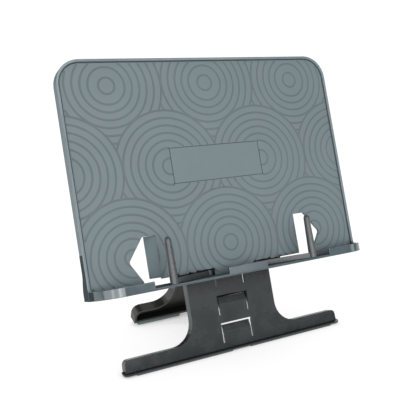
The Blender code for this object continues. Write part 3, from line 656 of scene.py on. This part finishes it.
def edge_mask(tree, radius):
    """1 on sharp edges within the radius, 0 on flats."""
    rounded = rounded_normal(tree, radius)
    flat = add_node(tree, "NewGeometry").outputs["True Normal"]
    cosine = add_node(tree, "VectorMath", {0: rounded, 1: flat}, operation="DOT_PRODUCT")
    return map_range(tree, cosine.outputs["Value"], WEAR_COSINES)


def openness(tree, reach, depth, samples):
    """Factor of painted shade: 1 where a surface lies open, and toward 0 where others within
    reach close it in.
    """
    occlusion = add_node(tree, "AmbientOcclusion", {"Distance": reach}, samples=samples)
    return calculate(tree, "POWER", occlusion.outputs["AO"], depth)


def bump(tree, height, distance, normal=None):
    """The normal of a relief of this depth, on a given normal or on the surface's own."""
    inputs = {"Strength": 1.0, "Distance": distance, "Height": height}
    if normal:
        inputs["Normal"] = normal
    return add_node(tree, "Bump", inputs).outputs["Normal"]


# Materials

def moulded_plastic(name, colour, worn, roughness, grain, grain_depth, specular=0.5,
                    painted_shade_reach=12.0 * MM, painted_shade_depth=0.5, clouding=0.08):
    """Satin plastic: faint clouds, wear along the edges, painted shade in crevices and moulded
    grain.
    """
    material, tree, shader = new_material(name)
    colour = linear(*colour)
    clouds = map_range(tree, noise(tree, CLOUD_SCALE), NOISE_RANGE)
    base = mix_colours(tree, clouds, toned(colour, 1.0 - clouding), toned(colour, 1.0 + clouding))
    edges = edge_mask(tree, WORN_WIDTH)
    scuffs = map_range(tree, noise(tree, SCUFF_SCALE), NOISE_RANGE, (0.0, SCUFF_MOST))
    base = mix_colours(tree, calculate(tree, "MULTIPLY", edges, scuffs), base, linear(*worn))
    # Painted shade: the colour darkens toward black in crevices and recesses, where shade falls
    base = mix_colours(tree, openness(tree, painted_shade_reach, painted_shade_depth, PAINTED_SHADE_SAMPLES),
                       BLACK, base)
    sheen = map_range(tree, noise(tree, SHEEN_SCALE, detail=4.0), NOISE_RANGE,
                      (roughness - SHEEN_SWING, roughness + SHEEN_SWING))
    soft = rounded_normal(tree, SOFT_WIDTH)
    grained = bump(tree, noise(tree, grain, detail=3.0), grain_depth, soft)
    feed(tree, shader, {"Base Color": base, "Roughness": sheen,
                        "Specular IOR Level": specular, "Normal": grained})
    return material


def rubber(name, colour):
    """Matt rubber with a fine, dusty speckle."""
    material, tree, shader = new_material(name)
    colour = linear(*colour)
    dust = map_range(tree, noise(tree, DUST_SCALE, detail=3.0), NOISE_RANGE)
    feed(tree, shader, {
        "Base Color": mix_colours(tree, dust, toned(colour, DUST_DARK), colour),
        "Roughness": map_range(tree, noise(tree, SMEAR_SCALE), NOISE_RANGE, RUBBER_ROUGHNESS),
        "Normal": bump(tree, noise(tree, RUBBER_GRAIN), RUBBER_GRAIN_DEPTH)})
    return material


def turned_steel(name, colour):
    """Bright steel with fine rings from turning and a few dull patches."""
    material, tree, shader = new_material(name)
    colour = linear(*colour)
    streaks = noise(tree, STREAK_SCALE, stretch=STREAK_STRETCH)
    bright = map_range(tree, streaks, NOISE_RANGE)
    feed(tree, shader, {
        "Base Color": mix_colours(tree, bright, toned(colour, STREAK_DARK), colour),
        "Metallic": 1.0,
        "Roughness": map_range(tree, noise(tree, DULL_SCALE, detail=3.0), NOISE_RANGE,
                               STEEL_ROUGHNESS),
        "Normal": bump(tree, streaks, STREAK_DEPTH)})
    return material


def glowing_floor(name, strength, shaded=False):
    """Even white light, which a shaded floor loses close to what stands on it."""
    material, tree, _ = new_material(name)
    tree.nodes.clear()
    glow = add_node(tree, "Emission", {"Strength": strength})
    add_node(tree, "OutputMaterial", {"Surface": glow.outputs["Emission"]})
    if shaded:
        contact = openness(tree, CONTACT_REACH, CONTACT_DEPTH, SHADE_SAMPLES)
        around = openness(tree, SHADE_REACH, SHADE_DEPTH, SHADE_SAMPLES)
        feed(tree, glow, {"Color": calculate(tree, "MULTIPLY", contact, around)})
    return material


def make_materials():
    """Every material of the stand, by name."""
    materials = {name: moulded_plastic(name, **values) for name, values in PLASTICS.items()}
    materials.update({name: rubber(name, colour) for name, colour in RUBBERS.items()})
    materials.update({name: turned_steel(name, colour) for name, colour in STEELS.items()})
    return materials


def node_finish(name):
    """Name of the material of a CAD node."""
    if "pad" in name:
        return "front_rubber" if "front" in name else "rear_rubber_painted_light"
    if "holder_pin" in name:
        return "blackened_steel"
    if "pin" in name or "clip" in name or "screw" in name:
        return "pin_steel"
    if "holder" in name:
        return "holder_plastic"
    return "rear_plastic" if name == "rear_leg" else "leg_plastic"


def dress(piece, material):
    """Gives a whole piece one material."""
    piece.data.materials.clear()
    piece.data.materials.append(material)


def dress_tray(tray, face, materials):
    """Gives each polygon of the tray its own kind of plastic."""
    tray.data.materials.clear()
    for name in TRAY_PLASTICS:
        tray.data.materials.append(materials[name])
    for polygon in tray.data.polygons:
        name = tray_plastic(polygon, tray.data, face)
        polygon.material_index = TRAY_PLASTICS.index(name)


# Studio

def make_camera(scene):
    """The camera at the photograph's place."""
    data = bpy.data.cameras.new("camera")
    data.lens = CAMERA_LENS
    data.sensor_width = SENSOR_WIDTH
    data.sensor_fit = "HORIZONTAL"
    data.clip_start = CAMERA_CLIP
    camera = bpy.data.objects.new("camera", data)
    camera.location = CAMERA_PLACE
    camera.rotation_euler = (math.pi / 2 + CAMERA_PITCH, 0, -CAMERA_YAW)
    scene.collection.objects.link(camera)
    scene.camera = camera


def make_disc(name, height, material):
    """A wide flat disc at a height."""
    mesh = bmesh.new()
    bmesh.ops.create_circle(mesh, cap_ends=True, segments=FLOOR_SIDES, radius=FLOOR_RADIUS,
                            matrix=Matrix.Translation((0, 0, height)))
    piece = new_piece(name, mesh)
    dress(piece, material)
    return piece


def make_surroundings(scene):
    """White floor, a dimmer disc whose light falls on the stand, and a white distance."""
    floor = make_disc("floor", 0.0, glowing_floor("floor_white", FLOOR_GLOW, shaded=True))
    floor.visible_diffuse = False
    bounce = make_disc("bounce", -BOUNCE_DROP, glowing_floor("bounce_white", BOUNCE_GLOW))
    bounce.visible_camera = bounce.visible_glossy = False
    world = bpy.data.worlds.new("studio")
    scene.world = world
    world.use_nodes = True
    background = world.node_tree.nodes["Background"]
    background.inputs["Color"].default_value = WHITE
    background.inputs["Strength"].default_value = FLOOR_GLOW
    world.cycles_visibility.diffuse = world.cycles_visibility.glossy = False


def soft_light(scene, name, bearing, height, width, strength):
    """A round soft light far away."""
    data = bpy.data.lights.new(name, "SUN")
    data.angle = math.radians(width)
    data.energy = strength
    lamp = bpy.data.objects.new(name, data)
    turn, rise = math.radians(bearing), math.radians(height)
    way = Vector((math.sin(turn) * math.cos(rise), -math.cos(turn) * math.cos(rise),
                  math.sin(rise)))
    lamp.rotation_euler = (-way).to_track_quat("-Z", "Y").to_euler()
    scene.collection.objects.link(lamp)


def main():
    """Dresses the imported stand, and sets up its camera, floor and light."""
    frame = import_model()
    nodes = frame["nodes"]
    scene = bpy.context.scene
    scene.view_settings.view_transform = "Standard"
    face = Face(frame["record"])
    materials = make_materials()

    tray = make_tray(nodes["page_tray"], face)
    dress_tray(tray, face, materials)
    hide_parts("page_tray")
    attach(tray, "tray")
    plaque = make_plaque(face)
    dress(plaque, materials["face_plastic"])
    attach(plaque, "tray")
    ribs = make_window_ribs(face)
    dress(ribs, materials["leg_plastic"])
    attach(ribs, "front_leg")
    for name, node in nodes.items():
        if name != "page_tray":
            dress(node, materials[node_finish(name)])

    make_camera(scene)
    make_surroundings(scene)
    for light in SOFT_LIGHTS:
        soft_light(scene, *light)


main()
